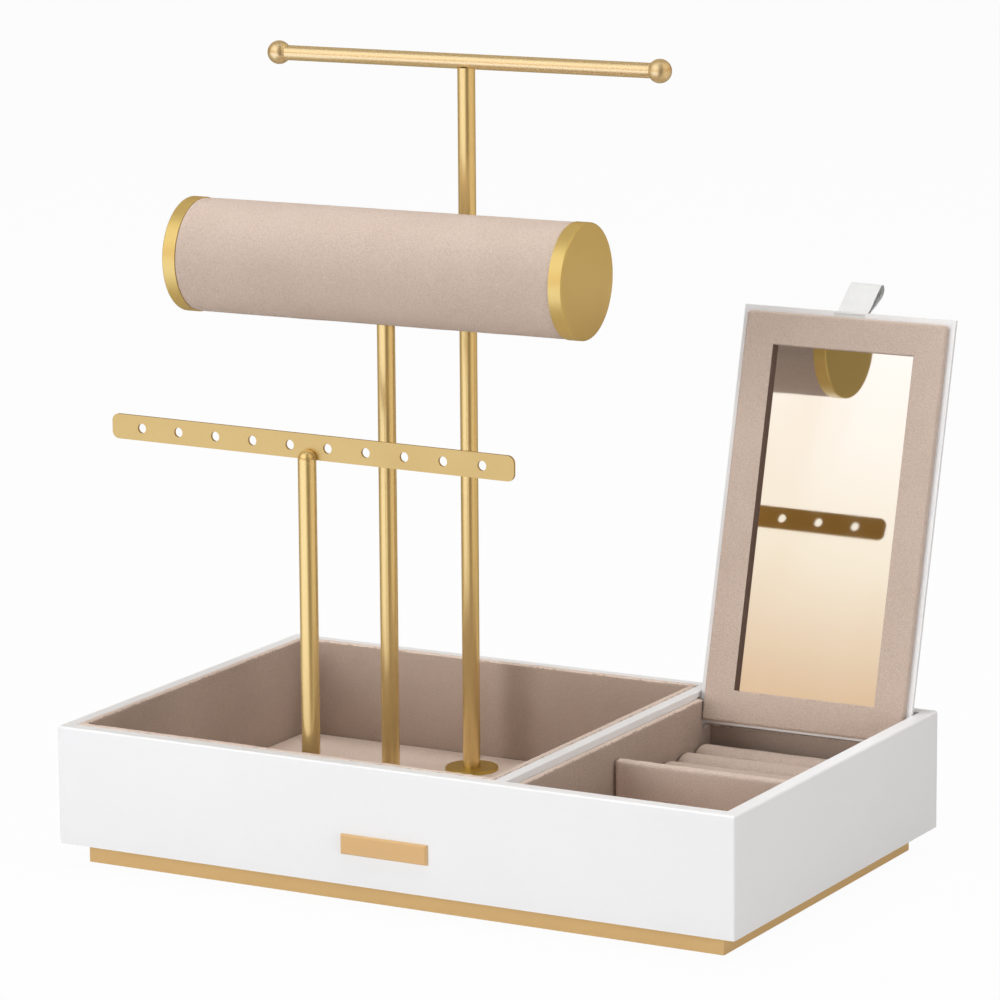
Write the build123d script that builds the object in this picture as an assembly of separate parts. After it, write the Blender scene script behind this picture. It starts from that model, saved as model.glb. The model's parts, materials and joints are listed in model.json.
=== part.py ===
from build123d import *
import math
import os

# Jewellery stand: a lined two-part box on a plinth, three posts with bars, and a hinged mirror lid.
# Millimetres, +Z up, origin at the middle of the plinth's underside, front of the box towards -Y.
# The lid is drawn shut and then turned about its hinge pins to the open pose.

# Box
case_width = 340.0
case_depth = 208.4
wall_height = 54.4
wall_thickness = 6.4
wall_ease = 1.0
base_thickness = 5.5
plinth_height = 9.9
plinth_inset = 9.5
plinth_ease = 0.5
divider_thickness = 5.4
divider_ease = 0.5
well_width = 106.9

# Name plate
plate_width = 43.4
plate_height = 9.0
plate_thickness = 1.6
plate_ease = 0.7
plate_rise = 18.6

# Velvet-covered boards and pads
lining_thickness = 3.0
lining_round = 1.2
tray_lining_drop = 0.4
pad_thickness = 3.0
pad_round = 0.8
pad_gap = 0.2

# Partition and ring rolls in the well
front_well_depth = 91.0
partition_thickness = 5.0
partition_drop = 11.3
partition_round = 1.8
partition_end_gap = 0.8
ring_roll_count = 5
ring_roll_drop = 23.3
ring_roll_gap = 0.3
ring_roll_back_gap = 4.0
ring_roll_round = 4.0

# Lid
lid_gap = 0.4
lid_panel_thickness = 2.8
lid_panel_round = 1.5
lid_margin = 2.8
lid_back_margin = 1.2
lid_frame_thickness = 3.2
lid_frame_corner = 2.0
lid_frame_round = 0.7
lid_border = 15.0
lid_seat_gap = 0.3
lid_stop_gap = 0.3
lid_swing_gap = 0.3
lid_lean_degrees = 14.4
mirror_thickness = 1.4
mirror_overlap = 2.0
mirror_gap = 0.2

# Lid hinge
hinge_setback = 9.6
hinge_pin_diameter = 2.0
hinge_pin_hold = 8.0
hinge_sleeve_length = 4.0
hinge_sleeve_wall = 0.7
hinge_running_gap = 0.05
notch_depth = 16.8
notch_corner = 2.0

# Ribbon pull on the lid
ribbon_width = 15.5
ribbon_thickness = 0.8
ribbon_tuck = 6.0
ribbon_reach = 19.0
ribbon_rise = 1.2
ribbon_bend = 1.0
ribbon_curl_degrees = 36.0
ribbon_gap = 0.1

# Posts and their fixing
post_offset = 3.05
post_diameter = 8.2
post_wall = 1.0
post_gap = 0.1
flange_diameter = 25.0
flange_thickness = 1.5
flange_ease = 0.5
plug_length = 14.0
screw_diameter = 4.0
screw_hold = 9.0
screw_head_diameter = 7.6
screw_head_height = 2.6
screw_head_ease = 0.6
screw_clearance = 0.3
screw_recess_diameter = 13.0
screw_recess_depth = 5.4
washer_diameter = 10.0
washer_thickness = 0.8

# Earring stand
earring_setback = 18.0
earring_rise = 179.2
earring_turn_degrees = -2.2
earring_bar_length = 210.4
earring_bar_height = 11.3
earring_bar_thickness = 1.2
earring_bar_corner = 3.4
earring_bar_back = 1.9
earring_hole_count = 10
earring_hole_diameter = 4.4
earring_hole_margin = 16.1
earring_cheek_height = 4.6
earring_seat_gap = 0.05
earring_post_cap = 6.0

# Bracelet stand
bracelet_offset = -6.7
bracelet_rise = 249.3
bracelet_turn_degrees = 2.0
bracelet_length = 201.4
bracelet_cap_diameter = 52.4
bracelet_cap_band = 6.6
bracelet_cap_wall = 0.9
bracelet_cap_ease = 0.7
bracelet_cap_gap = 0.1
bracelet_wrap_thickness = 0.7
bracelet_core_wall = 2.5
bracelet_block_width = 30.0
bracelet_block_height = 18.0
bracelet_block_gap = 0.1
bracelet_post_seat = 14.0

# Necklace stand
necklace_setback = 26.0
necklace_rise = 333.9
necklace_turn_degrees = 2.8
necklace_span = 194.4
necklace_bar_diameter = 7.0
necklace_ball_diameter = 11.0
necklace_weld_depth = 0.8

# Every cut runs this far past the faces that it opens
overrun = 1.0

# Ring roll outline, as shares of its width and height
roll_foot_share = 0.90
roll_shoulder_width_share = 0.97
roll_shoulder_height_share = 0.68
roll_side_height_share = 0.36
roll_end_width_share = 0.86
roll_end_height_share = 0.88

# Planes and places that follow from the sizes above
case_bottom = plinth_height
case_top = plinth_height + wall_height
outer_x = case_width / 2
outer_y = case_depth / 2
inner_x = outer_x - wall_thickness
inner_y = outer_y - wall_thickness
base_top = case_bottom + base_thickness
divider_right = inner_x - well_width
divider_left = divider_right - divider_thickness
tray_floor = base_top + pad_thickness
tray_lining_top = case_top - tray_lining_drop
lined_y = inner_y - lining_thickness
tray_lined_left = -inner_x + lining_thickness
tray_lined_right = divider_left - lining_thickness
well_lined_left = divider_right + lining_thickness
well_lined_right = inner_x - lining_thickness
partition_front_y = -lined_y + front_well_depth
partition_back_y = partition_front_y + partition_thickness
partition_top_z = case_top - partition_drop
ring_roll_top_z = case_top - ring_roll_drop
notch_floor_z = case_top - notch_depth
plate_middle_z = case_bottom + plate_rise
post_x = (tray_lined_left + tray_lined_right) / 2 + post_offset
earring_y = -lined_y + earring_setback
bracelet_y = bracelet_offset
necklace_y = lined_y - necklace_setback
earring_bar_middle_z = tray_floor + earring_rise
bracelet_axis_z = tray_floor + bracelet_rise
necklace_axis_z = tray_floor + necklace_rise
post_radius = post_diameter / 2
post_bore_radius = post_radius - post_wall
screw_radius = screw_diameter / 2
hinge_pin_radius = hinge_pin_diameter / 2

# The shut lid: its planes, its hinge line and the notch that its swing needs
panel_inner_z = case_top - lid_panel_thickness
frame_face_z = panel_inner_z - lid_frame_thickness
hinge_z = panel_inner_z - lid_frame_thickness / 2
panel_above_hinge = case_top - hinge_z
lid_turn_degrees = 90.0 + lid_lean_degrees
lid_sweep = lid_panel_round + math.hypot(hinge_setback - lid_panel_round, panel_above_hinge - lid_panel_round)
hinge_y = inner_y - lid_swing_gap - lid_sweep
lid_left = divider_right + lid_gap
lid_right = inner_x - lid_gap
lid_front = -inner_y + lid_gap
lid_back = hinge_y + hinge_setback
lid_middle_x = (lid_left + lid_right) / 2
ledge_z = panel_inner_z - lid_seat_gap
turn_sin = math.sin(math.radians(lid_turn_degrees))
turn_cos = math.cos(math.radians(lid_turn_degrees))
stop_reach = hinge_setback * turn_cos + (panel_inner_z - hinge_z) * turn_sin
notch_y = hinge_y + stop_reach - lid_stop_gap
hinge_line = Axis((0, hinge_y, hinge_z), (1, 0, 0))


def block(x_from, x_to, y_from, y_to, z_from, z_to):
    """A box between two corners."""
    middle = ((x_from + x_to) / 2, (y_from + y_to) / 2, (z_from + z_to) / 2)
    return Pos(*middle) * Box(x_to - x_from, y_to - y_from, z_to - z_from)


def upright(x, y, radius, z_from, z_to):
    """A round bar along Z."""
    return Pos(x, y, (z_from + z_to) / 2) * Cylinder(radius, z_to - z_from)


def crossways(x_from, x_to, radius):
    """A round bar along X, on the X axis."""
    return Pos((x_from + x_to) / 2, 0, 0) * Rot(0, 90, 0) * Cylinder(radius, x_to - x_from)


def top_edges(shape):
    """The edges of a shape's highest flat face."""
    return shape.faces().sort_by(Axis.Z)[-1].edges()


def on_post(y, z, turn):
    """The place on a post at a height, turned about the post."""
    return Pos(post_x, y, z) * Rot(0, 0, turn)


# Box

def case_ring():
    """The four walls in one piece, with eased outer edges."""
    ring = block(-outer_x, outer_x, -outer_y, outer_y, case_bottom, case_top)
    ring = fillet(ring.edges().filter_by(Axis.Z), wall_ease)
    ring = fillet(top_edges(ring), wall_ease)
    return ring - block(-inner_x, inner_x, -inner_y, inner_y, case_bottom - overrun, case_top + overrun)


def mitre_wedge(half_length, half_depth):
    """The part of the ring that belongs to the wall on the -Y side, cut at 45 degrees at its ends."""
    reach = wall_thickness + overrun
    outline = Polyline(
        (-half_length - overrun, -half_depth - overrun),
        (half_length + overrun, -half_depth - overrun),
        (half_length - reach, -half_depth + reach),
        (-half_length + reach, -half_depth + reach),
        close=True,
    )
    return Pos(0, 0, case_bottom - overrun) * extrude(make_face(outline), wall_height + 2 * overrun)


def hinge_socket(face_x, side):
    """The blind hole for a hinge sleeve, from a face towards the side given by -1 or 1."""
    sleeve = crossways(-overrun, hinge_sleeve_length, hinge_pin_radius + hinge_running_gap + hinge_sleeve_wall)
    turned = sleeve if side > 0 else Rot(0, 0, 180) * sleeve
    return Pos(face_x, hinge_y, hinge_z) * turned


def make_walls():
    """The four mitred walls."""
    ring = case_ring()
    along_x = mitre_wedge(outer_x, outer_y)
    along_y = mitre_wedge(outer_y, outer_x)
    return {
        "wall_front": ring & along_x,
        "wall_back": ring & (Rot(0, 0, 180) * along_x),
        "wall_left": ring & (Rot(0, 0, -90) * along_y),
        "wall_right": (ring & (Rot(0, 0, 90) * along_y)) - hinge_socket(inner_x, 1),
    }


def make_divider():
    """The board between the tray and the well, with the left hinge socket."""
    board = block(divider_left, divider_right, -inner_y, inner_y, base_top, case_top)
    board = fillet(top_edges(board).filter_by(Axis.Y), divider_ease)
    return board - hinge_socket(divider_right, -1)


def post_places():
    """Where the three posts stand."""
    return [(post_x, earring_y), (post_x, bracelet_y), (post_x, necklace_y)]


def make_base_board():
    """The bottom board, with a clearance hole under each post."""
    board = block(-inner_x, inner_x, -inner_y, inner_y, case_bottom, base_top)
    for x, y in post_places():
        board -= upright(x, y, screw_radius + screw_clearance, case_bottom - overrun, base_top + overrun)
    return board


def make_plinth():
    """The inset board under the box, with a recessed screw hole under each post."""
    half_width = outer_x - plinth_inset
    half_depth = outer_y - plinth_inset
    board = block(-half_width, half_width, -half_depth, half_depth, 0, plinth_height)
    board = fillet(board.edges().filter_by(Axis.Z), plinth_ease)
    for x, y in post_places():
        board -= upright(x, y, screw_radius + screw_clearance, -overrun, plinth_height + overrun)
        board -= upright(x, y, screw_recess_diameter / 2, -overrun, screw_recess_depth)
    return board


def make_name_plate():
    """The bare plate on the front wall."""
    low = plate_middle_z - plate_height / 2
    face_y = -outer_y - plate_thickness
    plate = block(-plate_width / 2, plate_width / 2, face_y, -outer_y, low, low + plate_height)
    return chamfer(plate.faces().sort_by(Axis.Y)[0].edges(), plate_ease)


# Linings and pads

def lining(x_from, x_to, y_from, y_to, top):
    """An upright velvet-covered board on the base, with its two long top edges rounded."""
    board = block(x_from, x_to, y_from, y_to, base_top, top)
    along = Axis.X if x_to - x_from > y_to - y_from else Axis.Y
    return fillet(top_edges(board).filter_by(along), lining_round)


def make_tray_linings():
    """The four boards round the open tray."""
    top = tray_lining_top
    return {
        "tray_lining_front": lining(-inner_x, divider_left, -inner_y, -lined_y, top),
        "tray_lining_back": lining(-inner_x, divider_left, lined_y, inner_y, top),
        "tray_lining_left": lining(-inner_x, tray_lined_left, -lined_y, lined_y, top),
        "tray_lining_right": lining(tray_lined_right, divider_left, -lined_y, lined_y, top),
    }


def pad(x_from, x_to, y_from, y_to):
    """A floor pad a little smaller than the space between its linings."""
    board = block(x_from + pad_gap, x_to - pad_gap, y_from + pad_gap, y_to - pad_gap, base_top, tray_floor)
    return fillet(top_edges(board), pad_round)


def make_tray_pad():
    """The tray's floor, with a hole for each post."""
    board = pad(tray_lined_left, tray_lined_right, -lined_y, lined_y)
    for x, y in post_places():
        board -= upright(x, y, post_radius + post_gap, base_top - overrun, tray_floor + overrun)
    return board


def side_lining(x_from, x_to):
    """A side board of the well, notched at the back for the lid's swing and its open stop."""
    outline = Polyline(
        (-lined_y, base_top),
        (lined_y, base_top),
        (lined_y, notch_floor_z),
        (notch_y, notch_floor_z),
        (notch_y, ledge_z),
        (-lined_y, ledge_z),
        close=True,
    )
    board = Pos(x_from, 0, 0) * extrude(Plane.YZ * make_face(outline), x_to - x_from)
    shoulder = board.edges().filter_by(Axis.X).group_by(Axis.Z)[-1].sort_by(Axis.Y)[-1]
    board = fillet(shoulder, notch_corner)
    return fillet(top_edges(board).filter_by(Axis.Y), lining_round)


def make_well_linings():
    """The four boards round the well, whose tops carry the shut lid."""
    return {
        "well_lining_front": lining(divider_right, inner_x, -inner_y, -lined_y, ledge_z),
        "well_lining_back": lining(divider_right, inner_x, lined_y, inner_y, notch_floor_z),
        "well_lining_left": side_lining(divider_right, well_lined_left),
        "well_lining_right": side_lining(well_lined_right, inner_x),
    }


def make_partition():
    """The velvet-covered board across the well."""
    left = well_lined_left + partition_end_gap
    right = well_lined_right - partition_end_gap
    board = block(left, right, partition_front_y, partition_back_y, base_top, partition_top_z)
    return fillet(top_edges(board).filter_by(Axis.X), partition_round)


# Ring rolls

def roll_section(width, height):
    """A soft upright D: a drawn-in foot, bulged sides and a crowned top, with its foot on the X axis."""
    foot = width * roll_foot_share / 2
    side = width / 2
    shoulder = width * roll_shoulder_width_share / 2
    side_height = height * roll_side_height_share
    shoulder_height = height * roll_shoulder_height_share
    outline = [
        Line((-foot, 0), (foot, 0)),
        ThreePointArc((foot, 0), (side, side_height), (shoulder, shoulder_height)),
        ThreePointArc((shoulder, shoulder_height), (0, height), (-shoulder, shoulder_height)),
        ThreePointArc((-shoulder, shoulder_height), (-side, side_height), (-foot, 0)),
    ]
    return make_face(outline)


def ring_roll(middle_y, width):
    """One roll along the well, a little lower and narrower at its two ends."""
    left = well_lined_left + ring_roll_gap
    right = well_lined_right - ring_roll_gap
    height = ring_roll_top_z - base_top
    end = roll_section(width * roll_end_width_share, height * roll_end_height_share)
    full = roll_section(width, height)
    stations = [
        (left, end),
        (left + ring_roll_round, full),
        (right - ring_roll_round, full),
        (right, end),
    ]
    sections = [Pos(x, middle_y, base_top) * (Plane.YZ * face) for x, face in stations]
    return loft(sections, ruled=True)


def make_ring_rolls():
    """The rolls that fill the rear half of the well."""
    pitch = (lined_y - ring_roll_back_gap - partition_back_y) / ring_roll_count
    rolls = {}
    for index in range(ring_roll_count):
        middle_y = partition_back_y + pitch * (index + 1 / 2)
        rolls[f"ring_roll_{index + 1}"] = ring_roll(middle_y, pitch - ring_roll_gap)
    return rolls


# Lid, drawn shut

def frame_block(inset, z_from, z_to):
    """A plate over the lid's velvet frame, drawn in from the frame's outline."""
    edge = lid_margin + inset
    back = lid_back - lid_back_margin - inset
    return block(lid_left + edge, lid_right - edge, lid_front + edge, back, z_from, z_to)


def ribbon_band(width, thickness):
    """The ribbon's form: along the panel's inner face, round its front edge and out in a curl."""
    middle = ribbon_thickness / 2
    edge_y = lid_front + middle
    inner_z = panel_inner_z + middle
    bend_z = case_top + ribbon_rise
    curl = math.radians(ribbon_curl_degrees)
    tip = (edge_y - ribbon_reach * math.cos(curl), bend_z + ribbon_reach * math.sin(curl))
    route = FilletPolyline(
        (lid_front + lid_margin + ribbon_tuck, inner_z),
        (edge_y, inner_z),
        (edge_y, bend_z),
        tip,
        radius=ribbon_bend,
    )
    band = Plane.YZ * make_face(trace(route, thickness))
    return Pos(lid_middle_x - width / 2, 0, 0) * extrude(band, width)


def make_lid_panel():
    """The lacquered panel, with the mirror's pocket and the ribbon's groove."""
    panel = block(lid_left, lid_right, lid_front, lid_back, panel_inner_z, case_top)
    panel = fillet(top_edges(panel), lid_panel_round)
    pocket_inset = lid_border - mirror_overlap - mirror_gap
    panel -= frame_block(pocket_inset, panel_inner_z - overrun, panel_inner_z + mirror_thickness)
    return panel - ribbon_band(ribbon_width + 2 * ribbon_gap, ribbon_thickness + 2 * ribbon_gap)


def make_lid_frame():
    """The velvet-covered frame round the mirror, bored at its sides for the hinge pins."""
    frame = frame_block(0, frame_face_z, panel_inner_z)
    frame = fillet(frame.edges().filter_by(Axis.Z), lid_frame_corner)
    frame -= frame_block(lid_border, frame_face_z - overrun, panel_inner_z + overrun)
    frame = fillet(frame.faces().sort_by(Axis.Z)[0].edges(), lid_frame_round)
    left = lid_left + lid_margin
    right = lid_right - lid_margin
    at_hinge = Pos(0, hinge_y, hinge_z)
    frame -= at_hinge * crossways(left - overrun, left + hinge_pin_hold, hinge_pin_radius)
    frame -= at_hinge * crossways(right - hinge_pin_hold, right + overrun, hinge_pin_radius)
    return frame


def make_mirror():
    """The glass, let into the panel and held by the frame's inner border."""
    return frame_block(lid_border - mirror_overlap, panel_inner_z, panel_inner_z + mirror_thickness)


def make_hinge_pins():
    """The two pins, pressed into the frame and standing out into the sleeves."""
    left = lid_left + lid_margin + hinge_pin_hold
    right = lid_right - lid_margin - hinge_pin_hold
    reach = hinge_sleeve_length - hinge_running_gap
    at_hinge = Pos(0, hinge_y, hinge_z)
    return {
        "hinge_pin_left": at_hinge * crossways(divider_right - reach, left, hinge_pin_radius),
        "hinge_pin_right": at_hinge * crossways(right, inner_x + reach, hinge_pin_radius),
    }


def make_lid():
    """The lid's pieces, opened."""
    shut = {
        "lid_panel": make_lid_panel(),
        "lid_frame": make_lid_frame(),
        "mirror": make_mirror(),
        "ribbon_pull": ribbon_band(ribbon_width, ribbon_thickness),
    }
    shut.update(make_hinge_pins())
    return {name: shape.rotate(hinge_line, -lid_turn_degrees) for name, shape in shut.items()}


def make_hinge_sleeves():
    """The two sleeves that the pins turn in."""
    bore = hinge_pin_radius + hinge_running_gap
    at_hinge = Pos(0, hinge_y, hinge_z)
    spans = {
        "hinge_sleeve_left": (divider_right - hinge_sleeve_length, divider_right),
        "hinge_sleeve_right": (inner_x, inner_x + hinge_sleeve_length),
    }
    sleeves = {}
    for name, (x_from, x_to) in spans.items():
        sleeve = crossways(x_from, x_to, bore + hinge_sleeve_wall)
        sleeves[name] = at_hinge * (sleeve - crossways(x_from - overrun, x_to + overrun, bore))
    return sleeves


# Stands

def tube(y, top, bore_top):
    """A post's tube from the base board to its top, bored from below."""
    outside = upright(post_x, y, post_radius, base_top, top)
    return outside - upright(post_x, y, post_bore_radius, base_top - overrun, bore_top)


def make_flange(y):
    """The ring on the tray's floor round a post."""
    ring = upright(post_x, y, flange_diameter / 2, tray_floor, tray_floor + flange_thickness)
    ring = fillet(top_edges(ring), flange_ease)
    return ring - upright(post_x, y, post_radius + post_gap, tray_floor - overrun, case_top)


def make_earring_bar():
    """The flat bar with its row of holes, seated behind the post's domed top."""
    bar = Box(earring_bar_length, earring_bar_thickness, earring_bar_height)
    bar = fillet(bar.edges().filter_by(Axis.Y), earring_bar_corner)
    first = -earring_bar_length / 2 + earring_hole_margin
    pitch = -2 * first / (earring_hole_count - 1)
    depth = earring_bar_thickness + 2 * overrun
    for index in range(earring_hole_count):
        bar -= Pos(first + pitch * index, 0, 0) * Rot(90, 0, 0) * Cylinder(earring_hole_diameter / 2, depth)
    return on_post(earring_y, earring_bar_middle_z, earring_turn_degrees) * Pos(0, earring_bar_back, 0) * bar


def make_earring_post():
    """The low post, domed at its top and cut away behind the dome for the flat bar."""
    bar_floor = earring_bar_middle_z - earring_bar_height / 2
    dome_z = bar_floor + earring_cheek_height - post_radius
    post = tube(earring_y, dome_z, bar_floor - earring_post_cap)
    post += Pos(post_x, earring_y, dome_z) * Sphere(post_radius)
    seat_y = earring_bar_back - earring_bar_thickness / 2 - earring_seat_gap
    reach = post_radius + overrun
    seat = block(-reach, reach, seat_y, reach, 0, earring_bar_height)
    return post - on_post(earring_y, bar_floor, earring_turn_degrees) * seat


def on_roll(shape):
    """A shape drawn about the roll's own axis, put in its place."""
    return on_post(bracelet_y, bracelet_axis_z, bracelet_turn_degrees) * shape


def post_hole(y, z_from, z_to):
    """The hole that a post passes through."""
    return upright(post_x, y, post_radius + post_gap, z_from, z_to)


def make_bracelet_roll():
    """The cardboard tube, its velvet cover, the two end caps and the block that the post seats in."""
    half = bracelet_length / 2
    cap_radius = bracelet_cap_diameter / 2
    core_radius = cap_radius - bracelet_cap_wall - bracelet_cap_gap
    bore_radius = core_radius - bracelet_core_wall
    core_half = half - bracelet_cap_wall - bracelet_cap_gap
    wrap_half = half - bracelet_cap_band - bracelet_cap_gap
    post_top = bracelet_axis_z - bore_radius + bracelet_post_seat
    hole = post_hole(bracelet_y, bracelet_axis_z - cap_radius - overrun, post_top)

    core = crossways(-core_half, core_half, core_radius)
    core -= crossways(-half, half, bore_radius)
    wrap = crossways(-wrap_half, wrap_half, core_radius + bracelet_wrap_thickness)
    wrap -= crossways(-half, half, core_radius)

    saddle = crossways(-bracelet_block_width / 2, bracelet_block_width / 2, bore_radius - bracelet_block_gap)
    saddle_top = -bore_radius + bracelet_block_height
    saddle &= block(-half, half, -bore_radius, bore_radius, -bore_radius, saddle_top)

    cap = crossways(half - bracelet_cap_band, half, cap_radius)
    cap = fillet(cap.edges().sort_by(Axis.X)[-1], bracelet_cap_ease)
    cap -= crossways(0, half - bracelet_cap_wall, core_radius + bracelet_cap_gap)
    return {
        "bracelet_core": on_roll(core) - hole,
        "bracelet_wrap": on_roll(wrap) - hole,
        "bracelet_block": on_roll(saddle) - hole,
        "bracelet_cap_right": on_roll(cap),
        "bracelet_cap_left": on_roll(Rot(0, 0, 180) * cap),
        "bracelet_post": tube(bracelet_y, post_top, post_top + overrun),
    }


def make_necklace_stand():
    """The round bar with its balls, and the tall post whose top is shaped to the bar."""
    place = on_post(necklace_y, necklace_axis_z, necklace_turn_degrees)
    half = necklace_span / 2
    bar_radius = necklace_bar_diameter / 2
    bar = crossways(-half, half, bar_radius)
    ball = Pos(half, 0, 0) * Sphere(necklace_ball_diameter / 2) - bar
    post_top = necklace_axis_z - bar_radius + necklace_weld_depth
    return {
        "necklace_bar": place * bar,
        "necklace_ball_right": place * ball,
        "necklace_ball_left": place * Rot(0, 0, 180) * ball,
        "necklace_post": tube(necklace_y, post_top, post_top + overrun) - place * bar,
    }


def make_fixings():
    """The threaded plug in each post's foot, and the screw and washer that hold it from beneath."""
    seat = screw_recess_depth
    head_top = seat - washer_thickness
    plugs = []
    screws = []
    washers = []
    for x, y in post_places():
        plug = upright(x, y, post_bore_radius, base_top, base_top + plug_length)
        plugs.append(plug - upright(x, y, screw_radius, base_top - overrun, base_top + screw_hold))
        washer = upright(x, y, washer_diameter / 2, head_top, seat)
        washers.append(washer - upright(x, y, screw_radius + screw_clearance, 0, case_top))
        head = upright(x, y, screw_head_diameter / 2, head_top - screw_head_height, head_top)
        head = fillet(head.edges().sort_by(Axis.Z)[0], screw_head_ease)
        screws.append(head + upright(x, y, screw_radius, head_top, base_top + screw_hold))
    return {
        "post_plugs": Compound(children=plugs),
        "post_screws": Compound(children=screws),
        "post_washers": Compound(children=washers),
    }


def make_nodes():
    """Every piece by name."""
    nodes = make_walls()
    nodes["divider"] = make_divider()
    nodes["base_board"] = make_base_board()
    nodes["plinth"] = make_plinth()
    nodes["name_plate"] = make_name_plate()
    nodes.update(make_tray_linings())
    nodes["tray_floor_pad"] = make_tray_pad()
    nodes.update(make_well_linings())
    nodes["well_floor_pad"] = pad(well_lined_left, well_lined_right, -lined_y, partition_front_y)
    nodes["ring_partition"] = make_partition()
    nodes.update(make_ring_rolls())
    nodes.update(make_lid())
    nodes.update(make_hinge_sleeves())
    nodes["earring_post"] = make_earring_post()
    nodes["earring_bar"] = make_earring_bar()
    nodes["earring_flange"] = make_flange(earring_y)
    nodes.update(make_bracelet_roll())
    nodes["bracelet_flange"] = make_flange(bracelet_y)
    nodes.update(make_necklace_stand())
    nodes["necklace_flange"] = make_flange(necklace_y)
    nodes.update(make_fixings())
    return nodes


os.makedirs("parts", exist_ok=True)
for node_name, node_shape in make_nodes().items():
    export_step(node_shape, f"parts/{node_name}.step")
print(f"hinge line y {hinge_y:.3f} z {hinge_z:.3f}, notch y {notch_y:.3f}, ledge z {ledge_z:.3f}")
print(f"lid front {lid_front:.3f} back {lid_back:.3f} left {lid_left:.3f} right {lid_right:.3f}")
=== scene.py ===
import json
import math
from contextlib import contextmanager

import bmesh
import bpy
from mathutils import Matrix, Vector, noise


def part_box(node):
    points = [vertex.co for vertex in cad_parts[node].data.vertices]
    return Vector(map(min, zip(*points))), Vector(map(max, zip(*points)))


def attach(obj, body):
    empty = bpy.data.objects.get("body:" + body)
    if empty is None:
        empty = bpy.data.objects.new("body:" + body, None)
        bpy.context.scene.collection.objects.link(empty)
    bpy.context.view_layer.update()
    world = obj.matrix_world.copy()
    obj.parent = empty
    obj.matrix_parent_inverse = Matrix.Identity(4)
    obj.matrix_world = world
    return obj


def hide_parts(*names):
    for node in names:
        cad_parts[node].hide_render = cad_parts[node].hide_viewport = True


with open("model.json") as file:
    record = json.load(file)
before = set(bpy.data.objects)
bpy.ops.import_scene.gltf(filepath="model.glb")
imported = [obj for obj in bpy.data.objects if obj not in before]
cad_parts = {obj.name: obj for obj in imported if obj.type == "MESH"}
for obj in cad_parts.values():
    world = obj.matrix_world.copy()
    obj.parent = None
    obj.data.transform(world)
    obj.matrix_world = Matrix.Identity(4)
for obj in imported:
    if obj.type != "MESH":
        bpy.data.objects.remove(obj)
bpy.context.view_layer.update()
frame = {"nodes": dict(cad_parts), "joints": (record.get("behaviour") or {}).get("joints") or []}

bl_info = {
    "name": "Jewellery stand",
    "version": (1, 0, 0),
    "blender": (4, 5, 0),
    "location": "3D View > Sidebar > Stand",
    "description": "Velvet, lacquer and gold for a lined jewellery stand with a mirror lid",
    "category": "Object",
}

MM = 0.001
CLOSE = 0.01 * MM
ROOM = 0.1 * MM
SHARP = 0.5
ROUND_SIDES = 48
COVER_SIDES = 128


def shade(red, green, blue):
    """A colour as it is seen on a screen, from 0 to 255, as the renderer's own values."""
    seen = [value / 255 for value in (red, green, blue)]
    return tuple(s / 12.92 if s <= 0.04045 else ((s + 0.055) / 1.055) ** 2.4 for s in seen)


def tone(name, description, red, green, blue):
    """A colour property."""
    colour = shade(red, green, blue)
    return bpy.props.FloatVectorProperty(
        name=name, description=description, subtype="COLOR", size=3, min=0, max=1, default=colour
    )


def length(name, description, millimetres):
    """A length property."""
    metres = millimetres * MM
    return bpy.props.FloatProperty(name=name, description=description, unit="LENGTH", default=metres)


def angle(name, description, degrees):
    """An angle property."""
    turn = math.radians(degrees)
    return bpy.props.FloatProperty(name=name, description=description, unit="ROTATION", default=turn)


def wattage(name, description, watts):
    """A lamp's power property."""
    return bpy.props.FloatProperty(name=name, description=description, unit="POWER", default=watts)


class StandFinish(bpy.types.PropertyGroup):
    """The colours of the stand."""

    lacquer: tone("Lacquer", "White of the walls and the divider", 241, 241, 242)
    # Painted shade: the lid's panel takes a darker copy of the wall lacquer, for the shade on its margins
    lid_lacquer: tone("Lid lacquer", "White of the lid's panel, which is a little duller", 235, 235, 236)
    velvet: tone("Velvet", "Pile of the ring rolls, the lid's frame and the bracelet roll", 216, 197, 184)
    velvet_deep: tone("Velvet in the nap", "Pile where the nap lies away from the light", 197, 176, 161)
    # Painted light and shade: the upright and level velvets are darker and lighter copies of one pile, for
    # the shade on upright boards and the light on level faces
    board_velvet: tone("Upright velvet", "Pile of the upright boards, away from the light", 201, 182, 168)
    shaded_upright_deep: tone("Upright velvet in the nap", "The same where the nap lies away", 183, 162, 148)
    floor_velvet: tone("Level velvet", "Pile of the floor pads, the partition and the rims", 232, 213, 199)
    lit_level_deep: tone("Level velvet in the nap", "The same where the nap lies away", 213, 191, 176)
    # Painted shade: a dark velvet for the frame's inner sides beside the mirror, standing in for the shade
    # there
    reveal: tone("Reveal", "Turned edges at the sides of the mirror", 118, 94, 82)
    gold: tone("Tube gold", "Posts", 242, 211, 143)
    round_gold: tone("Round bar gold", "Round bar and balls", 243, 217, 166)
    bar_gold: tone("Satin gold", "Flat bar", 219, 189, 124)
    cap_gold: tone("Cap gold", "End caps of the bracelet roll", 232, 202, 124)
    flange_gold: tone("Flange gold", "Flanges at the feet of the posts", 216, 188, 96)
    plinth: tone("Plinth gold", "Foil on the board under the box", 240, 203, 144)
    plate: tone("Plate gold", "Bare plate on the front", 232, 192, 138)
    ribbon: tone("Ribbon", "Satin loop on the lid", 226, 226, 225)
    glass: tone("Mirror", "Silver of the mirror", 246, 245, 243)
    board: tone("Bare board", "Unpainted board of the base", 176, 148, 112)
    card: tone("Cardboard", "Tube inside the bracelet roll", 172, 142, 104)
    brass: tone("Brass", "Hinge sleeves", 206, 172, 104)
    steel: tone("Steel", "Pins, screws, plugs and washers", 186, 187, 190)


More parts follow.
